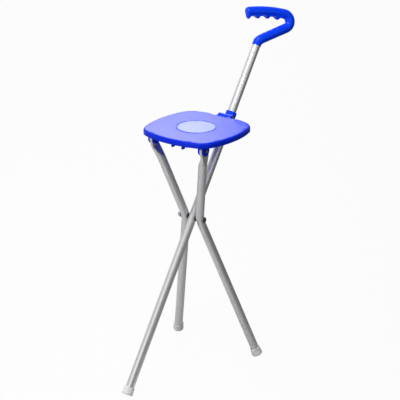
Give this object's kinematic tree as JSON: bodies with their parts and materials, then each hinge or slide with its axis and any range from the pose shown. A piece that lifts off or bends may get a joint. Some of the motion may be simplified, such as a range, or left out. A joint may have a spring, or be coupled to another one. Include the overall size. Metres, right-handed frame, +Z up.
{
  "type": "folding cane seat",
  "caption": "Walking stick that unfolds into a tripod stool: metal tubes crossing at one bolt, a rounded square plastic seat and a turned handle with finger grooves.",
  "frame": {"origin": "middle of the object's bounding box, on the floor", "axes": "+Z up; -Y to the front, where the long cane's foot stands; +X towards the right leg, on the right hand of someone who looks from the front"},
  "size_m": [0.2542, 0.5996, 0.7682],
  "materials": {
    "tube": "satin",
    "moulding": "semi-gloss",
    "seat_disc": "matt",
    "tip_rubber": "matt, light grey",
    "spacer": "matt",
    "dark_steel": "blackened",
    "steel": "satin"
  },
  "bodies": {
    "cane": {"main_tube": "tube", "handle": "moulding", "main_tip": "tip_rubber", "main_tip_washer": "steel", "pivot_bolt": "dark_steel", "pivot_nut": "steel", "pivot_spacers": "spacer", "pivot_washers": "steel", "stop_pin": "steel"},
    "right_leg": {"right_leg_tube": "tube", "right_tip": "tip_rubber", "right_tip_washer": "steel"},
    "left_leg": {"left_leg_tube": "tube", "left_tip": "tip_rubber", "left_tip_washer": "steel"},
    "seat": {"seat_plate": "moulding", "seat_disc": "seat_disc", "right_seat_pin": "steel", "right_pin_cap": "steel", "left_seat_pin": "steel", "left_pin_cap": "steel", "hinge_pin": "steel", "hinge_pin_cap": "steel"},
    "collar": {"collar": "moulding"}
  },
  "joints": [
    {"name": "right_leg_fold", "type": "hinge", "parent": "cane", "child": "right_leg", "pos_m": [0, -0.04373, 0.3447], "axis": [-1, 0, 0], "range_deg": [0, 50.2]},
    {"name": "left_leg_fold", "type": "hinge", "parent": "cane", "child": "left_leg", "pos_m": [0, -0.04373, 0.3447], "axis": [-1, 0, 0], "range_deg": [0, 50.2]},
    {"name": "seat_hinge", "type": "hinge", "parent": "right_leg", "child": "seat", "pos_m": [0, -0.08897, 0.53027], "axis": [1, 0, 0], "range_deg": [0, 104.6]},
    {"name": "collar_hinge", "type": "hinge", "parent": "seat", "child": "collar", "pos_m": [0, 0.08385, 0.54525], "axis": [-1, 0, 0], "range_deg": [0, 54.4]}
  ],
  "couplings": [
    {"joint": "left_leg_fold", "follows": "right_leg_fold", "ratio": 1},
    {"joint": "seat_hinge", "follows": "right_leg_fold", "ratio": 2.081},
    {"joint": "collar_hinge", "follows": "right_leg_fold", "ratio": 1.081}
  ]
}
